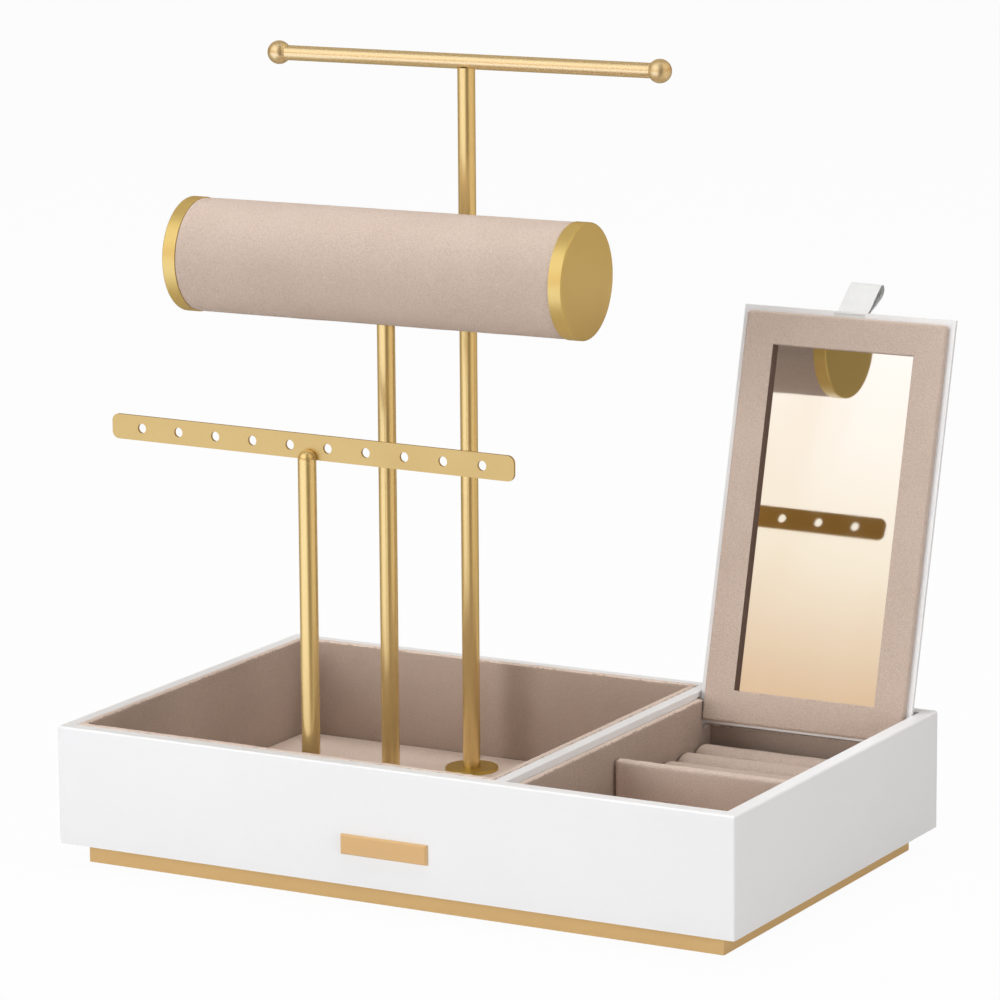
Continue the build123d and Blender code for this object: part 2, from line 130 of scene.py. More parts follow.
class StandCloth(bpy.types.PropertyGroup):
    """The sizes of the soft pieces."""

    board_round: length("Board edge", "Roundness of the velvet turned over a board's edge", 1.2)
    pad_round: length("Pad edge", "Roundness of a floor pad's edge", 0.8)
    partition_round: length("Partition edge", "Roundness of the partition's edges", 1.9)
    pile: length("Pile", "How far single tufts stand out of an edge", 0.22)
    rim_rise: length("Rim rise", "How far the velvet turned over the tray's boards stands above them", 0.9)
    roll_round: length("Roll end", "Roundness of a ring roll's ends", 3.2)
    roll_uneven: length("Roll unevenness", "How far a ring roll's cover lies in and out", 0.18)
    frame_overlap: length("Frame overlap", "How far the lid's frame laps over the mirror", 2.0)
    frame_corner: length("Frame corner", "Roundness of the frame's corners", 2.0)
    frame_round: length("Frame edge", "Roundness of the frame's outer front edges", 1.1)
    frame_inner_round: length("Frame inner edge", "Roundness of the frame's edges round the mirror", 0.5)
    cover_thickness: length("Cover thickness", "Thickness of the bracelet roll's velvet", 0.6)
    cover_tuck: length("Cover tuck", "How far the bracelet roll's cover is drawn in at the caps", 0.25)
    cover_uneven: length("Cover unevenness", "How far the bracelet roll's cover lies in and out", 0.1)
    lap_place: angle("Lap place", "How far behind the lowest line of the bracelet roll the seam lies", 55)
    lap_width: length("Lap width", "Width of the seam under the bracelet roll", 5.0)
    lap_rise: length("Lap rise", "How far the seam under the bracelet roll stands out", 0.35)
    ribbon_width: length("Ribbon width", "Width of the ribbon", 15.5)
    ribbon_thickness: length("Ribbon thickness", "Thickness of one layer of the ribbon", 0.32)
    ribbon_length: length("Ribbon length", "Length that the looped ribbon is cut to", 64.1)


class StandStage(bpy.types.PropertyGroup):
    """The camera and the light."""

    lens: bpy.props.FloatProperty(name="Lens", description="Focal length in millimetres", default=182.82)
    turn: angle("Turn", "How far round the object the camera stands", 28.964)
    rise: angle("Rise", "How far above the object the camera stands", 11.488)
    roll: angle("Roll", "How far the camera leans", -0.390)
    place: bpy.props.FloatVectorProperty(
        name="Place",
        description="Where the camera stands",
        subtype="XYZ",
        size=3,
        default=(1.08093, -1.95091, 0.61825),
    )
    key: wattage("Key", "Power of the large lamp at the front left", 37)
    top: wattage("Top", "Power of the lamp above", 30)
    fill: wattage("Fill", "Power of the lamp at the right", 13.5)
    ambient: bpy.props.FloatProperty(name="Ambient", description="Light from all round", default=0.18)
    paper: bpy.props.FloatProperty(
        name="Paper", description="Share of the floor that no shadow darkens", subtype="FACTOR", default=0.965
    )


class Wire:
    """A node's output. Sums and products of wires add Math nodes."""

    def __init__(self, recipe, socket):
        self.recipe = recipe
        self.socket = socket

    def _math(self, operation, *terms):
        return self.recipe.node("ShaderNodeMath", {"operation": operation}, dict(enumerate(terms)))

    def __add__(self, other):
        return self._math("ADD", self, other)

    def __mul__(self, other):
        return self._math("MULTIPLY", self, other)

    __radd__ = __add__
    __rmul__ = __mul__


class Recipe:
    """The nodes of one material or of the world."""

    def __init__(self, owner):
        owner.use_nodes = True
        self.owner = owner
        self.tree = owner.node_tree
        self.tree.nodes.clear()

    def node(self, kind, settings=None, inputs=None, output=0):
        """Adds a node, sets it up, fills or links its sockets and gives one of its outputs."""
        made = self.tree.nodes.new(kind)
        for key, value in (settings or {}).items():
            if key == "stops":
                self._set_stops(made.color_ramp.elements, value)
            else:
                setattr(made, key, value)
        for key, value in (inputs or {}).items():
            if isinstance(value, Wire):
                self.tree.links.new(value.socket, made.inputs[key])
            else:
                made.inputs[key].default_value = value
        return Wire(self, made.outputs[output]) if made.outputs else None

    def _set_stops(self, elements, stops):
        while len(elements) < len(stops):
            elements.new(1)
        for element, (position, colour) in zip(elements, stops):
            element.position = position
            element.color = colour

    def place(self, stretch=(1, 1, 1)):
        """The place on the object in metres, stretched along its axes."""
        where = self.node("ShaderNodeTexCoord", output="Object")
        return self.node("ShaderNodeMapping", {"vector_type": "POINT"}, {"Vector": where, "Scale": stretch})

    def grain(self, where, scale, detail=2.0, rough=0.5):
        """Soft noise from 0 to 1."""
        inputs = {"Vector": where, "Scale": scale, "Detail": detail, "Roughness": rough}
        return self.node("ShaderNodeTexNoise", {"noise_dimensions": "3D"}, inputs, "Fac")

    def between(self, factor, low, high, first=0.3, last=0.7):
        """A value that goes from low to high as the factor goes from first to last."""
        inputs = {"Value": factor, "From Min": first, "From Max": last, "To Min": low, "To Max": high}
        return self.node("ShaderNodeMapRange", {"clamp": True}, inputs)

    def blend(self, factor, first, second):
        """A colour between two colours."""
        inputs = {0: factor, 6: opaque(first), 7: opaque(second)}
        return self.node("ShaderNodeMix", {"data_type": "RGBA", "clamp_factor": True}, inputs, 2)

    def bump(self, height, strength, distance, under=None):
        """A normal that follows a height."""
        inputs = {"Height": height, "Strength": strength, "Distance": distance}
        if under is not None:
            inputs["Normal"] = under
        return self.node("ShaderNodeBump", {}, inputs)

    def surface(self, **sockets):
        """The finished surface, from its socket values."""
        inputs = {key.replace("_", " "): value for key, value in sockets.items()}
        shader = self.node("ShaderNodeBsdfPrincipled", {}, inputs)
        self.node("ShaderNodeOutputMaterial", {}, {"Surface": shader})
        return self.owner


def opaque(colour):
    """A plain colour with its alpha, or a wire as it is."""
    return colour if isinstance(colour, Wire) else (*colour, 1)


def darker(colour, share):
    """A share of a colour."""
    return tuple(value * share for value in colour)


def new_recipe(name):
    """An empty material."""
    return Recipe(bpy.data.materials.new(name))


def lacquer_material(name, colour):
    """Sprayed white lacquer: near flat, with a faint skin and slow changes of gloss."""
    recipe = new_recipe(name)
    where = recipe.place()
    cloud = recipe.grain(where, 14, 2)
    speck = recipe.grain(where, 420, 3)
    skin = recipe.grain(where, 1500, 1)
    tint = recipe.blend(recipe.between(0.7 * cloud + 0.3 * speck, 0, 1), darker(colour, 0.975), colour)
    gloss = recipe.between(recipe.grain(where, 60, 3), 0.34, 0.44)
    return recipe.surface(
        Base_Color=tint,
        Roughness=gloss,
        IOR=1.47,
        Coat_Weight=0.12,
        Coat_Roughness=0.22,
        Normal=recipe.bump(skin, 0.05, 0.0003),
    )


def velvet_material(name, colour, deep):
    """Short velvet: brushed patches of nap, fine tufts and a soft rim."""
    recipe = new_recipe(name)
    where = recipe.place()
    nap = recipe.grain(where, 38, 3, 0.6)
    mottle = recipe.grain(where, 1300, 2, 0.6)
    tuft = recipe.grain(where, 2100, 2, 0.7)
    lie = 0.11 * nap + 0.22 * mottle + 0.67 * tuft
    tint = recipe.blend(recipe.between(lie, 0, 1, 0.4, 0.59), deep, colour)
    rough = recipe.between(mottle, 0.82, 0.98)
    low = recipe.bump(mottle, 0.8, 0.0004)
    normal = recipe.bump(tuft, 0.9, 0.0005, low)
    return recipe.surface(
        Base_Color=tint,
        Roughness=rough,
        Specular_IOR_Level=0.15,
        Sheen_Weight=0.16,
        Sheen_Roughness=0.42,
        Sheen_Tint=(1.0, 0.93, 0.88, 1),
        Normal=normal,
    )


def brushed_gold_material(name, colour, stretch, metallic, rough_low, rough_high):
    """Brushed gold plate with fine streaks along the stretched axis."""
    recipe = new_recipe(name)
    streak = recipe.grain(recipe.place(stretch), 1, 3, 0.6)
    cloud = recipe.grain(recipe.place(), 30, 2)
    tint = recipe.blend(recipe.between(0.6 * streak + 0.4 * cloud, 0, 1), darker(colour, 0.97), colour)
    return recipe.surface(
        Base_Color=tint,
        Metallic=metallic,
        Roughness=recipe.between(streak, rough_low, rough_high),
        Normal=recipe.bump(streak, 0.02, 0.0001),
    )


def satin_metal_material(name, colour, metallic, rough_low, rough_high):
    """Satin metal or foil with an even fine grain."""
    recipe = new_recipe(name)
    where = recipe.place()
    fine = recipe.grain(where, 2600, 2)
    cloud = recipe.grain(where, 24, 3)
    tint = recipe.blend(recipe.between(0.5 * fine + 0.5 * cloud, 0, 1), darker(colour, 0.95), colour)
    return recipe.surface(
        Base_Color=tint,
        Metallic=metallic,
        Roughness=recipe.between(cloud, rough_low, rough_high),
        Normal=recipe.bump(fine, 0.08, 0.0002),
    )


def mirror_material(name, colour):
    """Silvered glass with hardly seen wipe marks."""
    recipe = new_recipe(name)
    wipe = recipe.grain(recipe.place((40, 12, 12)), 1, 3)
    return recipe.surface(
        Base_Color=recipe.blend(recipe.between(wipe, 0, 1), darker(colour, 0.985), colour),
        Metallic=1.0,
        Roughness=recipe.between(wipe, 0.015, 0.045),
    )


def ribbon_material(name, colour):
    """Satin ribbon: fine threads along its length."""
    recipe = new_recipe(name)
    thread = recipe.grain(recipe.place((4200, 260, 260)), 1, 2)
    cloud = recipe.grain(recipe.place(), 160, 2)
    tint = recipe.blend(recipe.between(0.6 * thread + 0.4 * cloud, 0, 1), darker(colour, 0.9), colour)
    return recipe.surface(
        Base_Color=tint,
        Roughness=recipe.between(thread, 0.42, 0.58),
        Sheen_Weight=0.1,
        Sheen_Roughness=0.35,
        Normal=recipe.bump(thread, 0.2, 0.0002),
    )


def fibre_material(name, colour, stretch):
    """Pressed fibre, as in board and card."""
    recipe = new_recipe(name)
    fibre = recipe.grain(recipe.place(stretch), 1, 4, 0.65)
    tint = recipe.blend(recipe.between(fibre, 0, 1), darker(colour, 0.78), colour)
    return recipe.surface(
        Base_Color=tint,
        Roughness=recipe.between(fibre, 0.75, 0.92),
        Normal=recipe.bump(fibre, 0.25, 0.0005),
    )


def choose(piece):
    """Makes a piece the only selected one."""
    bpy.ops.object.select_all(action="DESELECT")
    bpy.context.view_layer.objects.active = piece
    piece.select_set(True)


@contextmanager
def edit_mode(piece):
    """Works on one piece in edit mode."""
    choose(piece)
    bpy.ops.object.mode_set(mode="EDIT")
    yield
    bpy.ops.object.mode_set(mode="OBJECT")


def pick(piece, kind, test):
    """Selects the edges or faces that pass a test. Works in edit mode."""
    bpy.ops.mesh.select_mode(type=kind)
    bpy.ops.mesh.select_all(action="DESELECT")
    form = bmesh.from_edit_mesh(piece.data)
    for part in form.edges if kind == "EDGE" else form.faces:
        part.select_set(test(part))
    form.select_flush_mode()
    bmesh.update_edit_mesh(piece.data)


def settle(piece, name):
    """Names a new primitive and puts its place into its mesh."""
    bpy.ops.object.transform_apply()
    piece.name = name
    piece.data.name = name
    return piece


def block(name, low, high):
    """A box between two corners."""
    bpy.ops.object.select_all(action="DESELECT")
    bpy.ops.mesh.primitive_cube_add(size=1, location=(low + high) / 2, scale=high - low)
    return settle(bpy.context.object, name)


def smooth(piece, degrees=50):
    """Smooth shading, broken at the edges that are sharper than this."""
    choose(piece)
    bpy.ops.object.shade_smooth_by_angle(angle=math.radians(degrees))


def apply_modifier(piece, kind, **settings):
    """Adds a modifier and applies it."""
    modifier = piece.modifiers.new(kind.title(), kind)
    for key, value in settings.items():
        setattr(modifier, key, value)
    bpy.context.view_layer.objects.active = piece
    bpy.ops.object.modifier_apply(modifier=modifier.name)


def runs_along(edge, axis, shortest):
    """Whether an edge lies along an axis and is at least this long."""
    step = edge.verts[1].co - edge.verts[0].co
    return abs(step[axis]) >= shortest and abs(step[axis]) > 0.999 * step.length


def add_cuts(piece, axis, shortest, *rounds):
    """Divides the long edges along an axis, round after round."""
    with edit_mode(piece):
        for cuts in rounds:
            pick(piece, "EDGE", lambda edge: runs_along(edge, axis, shortest))
            bpy.ops.mesh.subdivide(number_cuts=cuts)
            shortest /= cuts + 1


def round_edges(piece, reach, segments=4, test=lambda edge: True):
    """Rounds the edges that pass a test."""
    with edit_mode(piece):
        pick(piece, "EDGE", test)
        bpy.ops.mesh.bevel(offset=reach, offset_type="OFFSET", segments=segments, profile=0.5, affect="EDGES")


def ruffle(piece, reach, scale, test=lambda point: True):
    """Moves the surface in and out a little, as pile and cloth do."""
    for point in piece.data.vertices:
        if test(point):
            point.co += point.normal * (reach * noise.noise(point.co * scale))
    piece.data.update()


def finish_piece(piece, look, body, slot, *nodes):
    """Gives a piece its material, its body and the nodes that it stands for."""
    piece.data.materials.clear()
    piece.data.materials.append(look)
    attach(piece, body)
    if nodes:
        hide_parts(*nodes)
    return piece


def dress(names, look):
    """Gives CAD nodes a material."""
    for name in names:
        for holder in frame["nodes"][name].material_slots:
            holder.material = look


def material(name, make, *values):
    """A material of the stand, made once."""
    full_name = f"stand_{name}"
    return bpy.data.materials.get(full_name) or make(full_name, *values)


def velvet():
    """The velvet of the lid's frame and the bracelet roll."""
    finish = bpy.context.scene.stand_finish
    return material("velvet_pile", velvet_material, finish.velvet, finish.velvet_deep)


def floor_velvet():
    """The velvet of the floor pads, the partition and the boards' rims: a lighter copy of the pile, painted
    light on level faces.
    """
    finish = bpy.context.scene.stand_finish
    return material("velvet_floor", velvet_material, finish.floor_velvet, finish.lit_level_deep)


def board_velvet():
    """The velvet of the upright boards: a darker copy of the pile, painted shade on upright faces."""
    finish = bpy.context.scene.stand_finish
    return material("velvet_board", velvet_material, finish.board_velvet, finish.shaded_upright_deep)


def tube_gold():
    """The gold of the upright posts."""
    finish = bpy.context.scene.stand_finish
    return material("gold_tube", brushed_gold_material, finish.gold, (5200, 5200, 30), 0.7, 0.19, 0.25)


def lid_turn():
    """The turn from the shut lid to the open one."""
    hinge = frame["joints"][0]
    place = Matrix.Translation(Vector(hinge["pos_m"]))
    swing = Matrix.Rotation(-math.radians(hinge["range_deg"][1]), 4, Vector(hinge["axis"]))
    return place @ swing @ place.inverted()


def shut_box(name):
    """The lowest and highest corner of a lid node with the lid shut."""
    shut = lid_turn().inverted()
    points = [shut @ point.co for point in frame["nodes"][name].data.vertices]
    low = Vector([min(point[axis] for point in points) for axis in range(3)])
    high = Vector([max(point[axis] for point in points) for axis in range(3)])
    return low, high


def middle(name):
    """The middle of a CAD node's box."""
    low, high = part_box(name)
    return (low + high) / 2


def drill_for_post(piece, post, height, depth):
    """Cuts a hole for a post into a piece, about a height."""
    low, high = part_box(post)
    radius = (high.x - low.x) / 2 + ROOM
    bpy.ops.object.select_all(action="DESELECT")
    place = (*middle(post).xy, height)
    bpy.ops.mesh.primitive_cylinder_add(vertices=ROUND_SIDES, radius=radius, depth=depth, location=place)
    drill = settle(bpy.context.object, "drill")
    apply_modifier(piece, "BOOLEAN", operation="DIFFERENCE", object=drill, solver="EXACT")
    bpy.data.objects.remove(drill)


def lined_board(node, reach, cloth, rise=0.0, notch=None):
    """A velvet-covered board in a node's space, lower behind the notch where there is one."""
    sizes = bpy.context.scene.stand_cloth
    low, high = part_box(node)
    high = high + Vector((0, 0, rise))
    long_axis = 0 if high.x - low.x > high.y - low.y else 1
    floor = notch[1] if notch else high.z
    piece = block(f"{node}_velvet", low, Vector((high.x, high.y, floor)))
    if notch:
        with edit_mode(piece):
            bpy.ops.mesh.select_all(action="SELECT")
            bpy.ops.mesh.bisect(plane_co=(0, notch[0], 0), plane_no=(0, 1, 0))
            pick(piece, "FACE", lambda face: face.normal.z > 0.9 and face.calc_center_median().y < notch[0])
            bpy.ops.mesh.extrude_region_move(TRANSFORM_OT_translate={"value": (0, 0, high.z - floor)})
    round_edges(piece, reach, 4, lambda edge: edge.calc_face_angle(0) > SHARP)
    tops = {high.z, floor}
    with edit_mode(piece):
        for top in tops:
            bpy.ops.mesh.select_all(action="SELECT")
            bpy.ops.mesh.bisect(plane_co=(0, 0, top - 1.6 * reach), plane_no=(0, 0, 1))
    add_cuts(piece, long_axis, 6 * MM, 11, 11)
    ruffle(piece, sizes.pile, 900, lambda point: any(0 <= top - point.co.z < 1.5 * reach for top in tops))
    smooth(piece)
    return finish_piece(piece, cloth, "case", "velvet", node)


class STAND_OT_lacquer(bpy.types.Operator):
    """Lacquers the walls, the divider and the lid's panel"""

    bl_idname = "stand.lacquer"
    bl_label = "Lacquer"

    def execute(self, context):
        finish = context.scene.stand_finish
        coat = material("white_lacquer", lacquer_material, finish.lacquer)
        dress(["wall_front", "wall_back", "wall_left", "wall_right", "divider"], coat)
        # The lid's panel gets the darker lacquer copy as painted shade
        dress(["lid_panel"], material("lid_lacquer", lacquer_material, finish.lid_lacquer))
        return {"FINISHED"}


class STAND_OT_base(bpy.types.Operator):
    """Finishes the plinth, the plate on the front and the bare boards"""

    bl_idname = "stand.base"
    bl_label = "Base and plate"

    def execute(self, context):
        finish = context.scene.stand_finish
        dress(["plinth"], material("plinth_foil", satin_metal_material, finish.plinth, 0.3, 0.38, 0.48))
        dress(["name_plate"], material("plate_gold", satin_metal_material, finish.plate, 0.3, 0.36, 0.46))
        bare = material("bare_board", fibre_material, finish.board, (700, 700, 700))
        dress(["base_board", "bracelet_block"], bare)
        dress(["bracelet_core"], material("tube_card", fibre_material, finish.card, (120, 900, 900)))
        return {"FINISHED"}


class STAND_OT_metal(bpy.types.Operator):
    """Finishes the posts, the bars, the caps and the hinge"""

    bl_idname = "stand.metal"
    bl_label = "Metal"

    def execute(self, context):
        finish = context.scene.stand_finish
        dress(["earring_post", "bracelet_post", "necklace_post"], tube_gold())
        along = (30, 5200, 5200)
        bar = material("gold_round_bar", brushed_gold_material, finish.round_gold, along, 0.75, 0.24, 0.3)
        dress(["necklace_bar"], bar)
        balls = material("gold_ball", satin_metal_material, finish.round_gold, 0.75, 0.28, 0.34)
        dress(["necklace_ball_left", "necklace_ball_right"], balls)
        flat = material("gold_flat_bar", satin_metal_material, finish.bar_gold, 1.0, 0.34, 0.42)
        dress(["earring_bar"], flat)
        caps = material("gold_cap", satin_metal_material, finish.cap_gold, 0.65, 0.3, 0.38)
        dress(["bracelet_cap_left", "bracelet_cap_right"], caps)
        flanges = material("gold_flange", satin_metal_material, finish.flange_gold, 0.85, 0.28, 0.36)
        dress(["earring_flange", "bracelet_flange", "necklace_flange"], flanges)
        brass = material("hinge_brass", brushed_gold_material, finish.brass, (40, 2000, 2000), 1.0, 0.3, 0.4)
        dress(["hinge_sleeve_left", "hinge_sleeve_right"], brass)
        steel = material("plain_steel", satin_metal_material, finish.steel, 1.0, 0.3, 0.42)
        dress(["hinge_pin_left", "hinge_pin_right", "post_plugs", "post_screws", "post_washers"], steel)
        return {"FINISHED"}


class STAND_OT_linings(bpy.types.Operator):
    """Covers the boards round the tray and the well with velvet"""

    bl_idname = "stand.linings"
    bl_label = "Linings"

    def execute(self, context):
        sizes = context.scene.stand_cloth
        reach, cloth = sizes.board_round, board_velvet()
        pieces = [
            lined_board(f"tray_lining_{side}", reach, cloth, sizes.rim_rise)
            for side in ("front", "back", "left", "right")
        ]
        pieces += [lined_board(f"well_lining_{side}", reach, cloth) for side in ("front", "back")]
        for node in ("well_lining_left", "well_lining_right"):
            pieces.append(lined_board(node, reach, cloth, notch=self.notch(node)))
        for piece in pieces:
            self.paint_lit_rim(piece)
        return {"FINISHED"}

    def paint_lit_rim(self, piece):
        """Gives the board's upward faces the lighter level velvet: painted light on its top."""
        piece.data.materials.append(floor_velvet())
        for face in piece.data.polygons:
            if face.normal.z > 0.5:
                face.material_index = 1

    def notch(self, node):
        """Where a side board steps down for the lid, and to what height."""
        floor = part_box("well_lining_back")[1].z
        points = frame["nodes"][node].data.vertices
        return max(point.co.y for point in points if point.co.z > floor + MM), floor


class STAND_OT_partition(bpy.types.Operator):
    """Covers the board across the well with velvet"""

    bl_idname = "stand.partition"
    bl_label = "Partition"

    def execute(self, context):
        lined_board("ring_partition", context.scene.stand_cloth.partition_round, floor_velvet())
        return {"FINISHED"}


class STAND_OT_pads(bpy.types.Operator):
    """Lays the velvet pads on the floors of the tray and the well"""

    bl_idname = "stand.pads"
    bl_label = "Floor pads"

    def execute(self, context):
        for node in ("tray_floor_pad", "well_floor_pad"):
            piece = block(f"{node}_velvet", *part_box(node))
            if node == "tray_floor_pad":
                for post in ("earring_post", "bracelet_post", "necklace_post"):
                    drill_for_post(piece, post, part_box(post)[0].z, 40 * MM)
            reach = context.scene.stand_cloth.pad_round
            round_edges(piece, reach, 4, lambda edge: self.is_rim(edge, *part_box(node)))
            smooth(piece)
            finish_piece(piece, floor_velvet(), "case", "velvet", node)
        return {"FINISHED"}

    def is_rim(self, edge, low, high):
        """Whether an edge is on the pad's outer rim."""
        ends = [corner.co for corner in edge.verts]
        on_x = all(min(abs(end.x - low.x), abs(end.x - high.x)) < CLOSE for end in ends)
        on_y = all(min(abs(end.y - low.y), abs(end.y - high.y)) < CLOSE for end in ends)
        return on_x or on_y


# How full a ring roll is below its middle: its flanks and its drop
ROLL_FLANK = 0.4
ROLL_DROP = 0.55


class STAND_OT_ring_rolls(bpy.types.Operator):
    """Stuffs the velvet rolls that hold rings"""

    bl_idname = "stand.ring_rolls"
    bl_label = "Ring rolls"

    def execute(self, context):
        finish, sizes = context.scene.stand_finish, context.scene.stand_cloth
        cloth = material("velvet_roll", velvet_material, finish.velvet, finish.velvet_deep)
        nodes = sorted(name for name in frame["nodes"] if name.startswith("ring_roll_"))
        first = self.model(nodes[0], sizes)
        start = middle(nodes[0])
        for node in nodes[1:]:
            roll = first.copy()
            roll.data = first.data.copy()
            roll.name = f"{node}_velvet"
            context.collection.objects.link(roll)
            roll.data.transform(Matrix.Translation(middle(node) - start))
        for node in nodes:
            roll = bpy.data.objects[f"{node}_velvet"]
            ruffle(roll, sizes.roll_uneven, 70)
            finish_piece(roll, cloth, "case", "velvet_roll", node)
        return {"FINISHED"}

    def model(self, node, sizes):
        """One roll: a round bar whose lower half is drawn down to a foot, with soft ends."""
        low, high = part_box(node)
        radius = (high.y - low.y) / 2
        axis_y, axis_z = (low.y + high.y) / 2, high.z - radius
        bpy.ops.object.select_all(action="DESELECT")
        bpy.ops.mesh.primitive_cylinder_add(
            vertices=ROUND_SIDES,
            radius=radius,
            depth=high.x - low.x,
            location=((low.x + high.x) / 2, axis_y, axis_z),
            rotation=(0, math.pi / 2, 0),
        )
        roll = settle(bpy.context.object, f"{node}_velvet")
        for point in roll.data.vertices:
            drop = axis_z - point.co.z
            if drop > 0:
                side = (point.co.y - axis_y) / radius
                point.co.y = axis_y + radius * math.copysign(abs(side) ** ROLL_FLANK, side)
                point.co.z = axis_z - (axis_z - low.z) * (drop / radius) ** ROLL_DROP
        roll.data.update()

        def is_end(edge):
            return abs(edge.verts[0].co.x - edge.verts[1].co.x) < CLOSE

        round_edges(roll, sizes.roll_round, 6, is_end)
        add_cuts(roll, 0, 20 * MM, 9, 3)
        smooth(roll, 60)
        return roll


class STAND_OT_bracelet_cover(bpy.types.Operator):
    """Wraps the bracelet roll in velvet, lapped underneath"""

    bl_idname = "stand.bracelet_cover"
    bl_label = "Bracelet roll"

    def execute(self, context):
        sizes = context.scene.stand_cloth
        left, right = middle("bracelet_cap_left"), middle("bracelet_cap_right")
        centre = (left + right) / 2
        along = (right - left).normalized()
        points = [point.co - centre for point in frame["nodes"]["bracelet_wrap"].data.vertices]
        reach = max(abs(point.dot(along)) for point in points)
        radius = max((point - along * point.dot(along)).length for point in points)
        piece = self.model(radius, reach, sizes)
        turn = Vector((1, 0, 0)).rotation_difference(along).to_matrix().to_4x4()
        piece.data.transform(Matrix.Translation(centre) @ turn)
        drill_for_post(piece, "bracelet_post", left.z - 30 * MM, 30 * MM)
        smooth(piece, 60)
        finish_piece(piece, velvet(), "case", "velvet", "bracelet_wrap")
        return {"FINISHED"}

    def model(self, radius, reach, sizes):
        """The cover about its own axis: a tube with tucked ends and a lap along its lower back."""
        bpy.ops.object.select_all(action="DESELECT")
        bpy.ops.mesh.primitive_cylinder_add(
            vertices=COVER_SIDES,
            radius=radius,
            depth=2 * reach,
            end_fill_type="NOTHING",
            rotation=(0, math.pi / 2, 0),
        )
        piece = settle(bpy.context.object, "bracelet_cover_velvet")
        add_cuts(piece, 0, 20 * MM, 15, 3)
        for point in piece.data.vertices:
            place = math.atan2(point.co.y, -point.co.z)
            out = Vector((0, point.co.y, point.co.z)).normalized()
            if abs(place - sizes.lap_place) * radius < sizes.lap_width / 2:
                point.co += out * sizes.lap_rise
            if abs(point.co.x) > reach - ROOM:
                point.co -= out * sizes.cover_tuck
        piece.data.update()
        ruffle(piece, sizes.cover_uneven, 90)
        apply_modifier(piece, "SOLIDIFY", thickness=sizes.cover_thickness, offset=-1)
        return piece


class STAND_OT_lid_frame(bpy.types.Operator):
    """Pads the velvet frame round the mirror"""

    bl_idname = "stand.lid_frame"
    bl_label = "Lid frame and mirror"

    def execute(self, context):
        sizes = context.scene.stand_cloth
        finish = context.scene.stand_finish
        dress(["mirror"], material("mirror_silver", mirror_material, finish.glass))
        low, high = shut_box("lid_frame")
        border = shut_box("mirror")[0].x + sizes.frame_overlap - low.x
        piece = self.model(low, high, border, sizes)
        # The frame's inner sides beside the mirror take the dark velvet below as painted shade
        painted_shade_faces = [
            face.index for face in piece.data.polygons
            if abs(face.normal.x) > 0.8 and low.x + border / 2 < face.center.x < high.x - border / 2
        ]
        piece.data.transform(lid_turn())
        piece.data.update()
        smooth(piece)
        finish_piece(piece, velvet(), "lid", "velvet", "lid_frame")
        dark = material("velvet_reveal", velvet_material, finish.reveal, darker(finish.reveal, 0.8))
        piece.data.materials.append(dark)
        for index in painted_shade_faces:
            piece.data.polygons[index].material_index = 1
        return {"FINISHED"}

    def model(self, low, high, border, sizes):
        """The frame of the shut lid, with its face down."""
        bpy.ops.object.select_all(action="DESELECT")
        size = high - low
        place = ((low.x + high.x) / 2, (low.y + high.y) / 2, high.z)
        bpy.ops.mesh.primitive_plane_add(size=1, location=place)
        piece = bpy.context.object
        piece.scale = (size.x, size.y, 1)
        settle(piece, "lid_frame_velvet")
        with edit_mode(piece):
            bpy.ops.mesh.select_all(action="SELECT")
            bpy.ops.mesh.inset(thickness=border)
            bpy.ops.mesh.delete(type="FACE")
            bpy.ops.mesh.select_all(action="SELECT")
            bpy.ops.mesh.extrude_region_move(TRANSFORM_OT_translate={"value": (0, 0, low.z - high.z)})
            bpy.ops.mesh.select_all(action="SELECT")
            bpy.ops.mesh.normals_make_consistent(inside=False)

        def is_corner(edge):
            point = edge.verts[0].co
            at_side = min(abs(point.x - low.x), abs(point.x - high.x)) < ROOM
            at_end = min(abs(point.y - low.y), abs(point.y - high.y)) < ROOM
            return runs_along(edge, 2, MM) and at_side and at_end

        def is_rim(edge):
            flat = all(abs(corner.co.z - low.z) < CLOSE for corner in edge.verts)
            return flat and edge.calc_face_angle(0) > SHARP

        def is_outer(edge):
            point = (edge.verts[0].co + edge.verts[1].co) / 2
            return min(point.x - low.x, high.x - point.x, point.y - low.y, high.y - point.y) < border / 2

        round_edges(piece, sizes.frame_corner, 6, is_corner)
        round_edges(piece, sizes.frame_round, 5, lambda edge: is_rim(edge) and is_outer(edge))
        round_edges(piece, sizes.frame_inner_round, 4, lambda edge: is_rim(edge) and not is_outer(edge))
        return piece


# The ribbon's line, as steps towards the hinge and upwards in millimetres. The tucked ends are taken from the
# root under the panel's edge and from the bend at its top.
TUCK_UNDER = [(2.0, 0.2), (0.2, 0.3)]
TUCK_OVER = [(0.7, 0.8), (2.2, 0.6)]
BEND_UNDER = (-0.2, -0.8)
BEND_OVER = (0.3, -0.4)
END_UNDER = (0, 0.2)
END_OVER = (0, 0.6)

# The ribbon's loop, as shares of the way to its tip and millimetres above that line
LOOP = [
    (0.16, -0.2),
    (0.5, -0.6),
    (0.84, -0.5),
    (0.99, 0.2),
    (1.03, 1.8),
    (0.99, 4.0),
    (0.82, 5.0),
    (0.5, 3.2),
    (0.16, 1.1),
]


